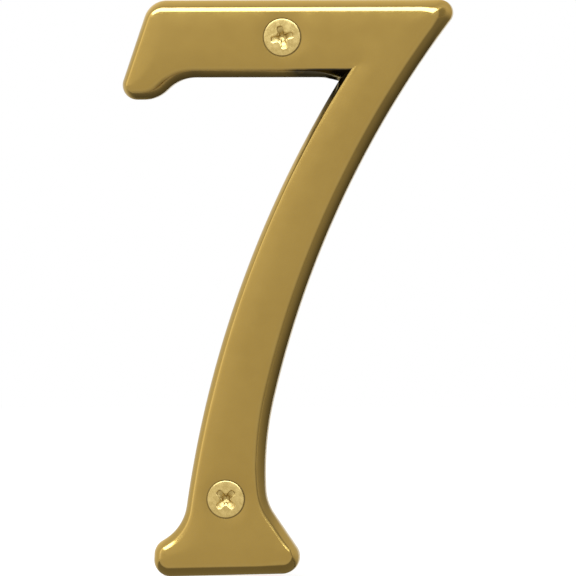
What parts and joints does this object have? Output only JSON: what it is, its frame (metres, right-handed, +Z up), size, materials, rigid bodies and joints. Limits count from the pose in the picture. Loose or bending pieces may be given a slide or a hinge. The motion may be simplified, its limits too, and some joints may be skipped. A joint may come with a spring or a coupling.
{
  "type": "door number",
  "caption": "Bevelled italic numeral seven in cast brass, with serifs and a flat back, held to a door by countersunk cross-recess wood screws.",
  "frame": {"origin": "on the flat back, midway between the axes of the two screws", "axes": "+Z up the numeral, +X to the right as it is read, +Y out of the back into the door"},
  "size_m": [0.0584, 0.0255, 0.1016],
  "materials": {
    "numeral_brass": "satin polish under clear lacquer",
    "screw_brass": "bright, as turned"
  },
  "bodies": {
    "root": {"numeral": "numeral_brass", "fixing_screws": "screw_brass"}
  },
  "joints": []
}
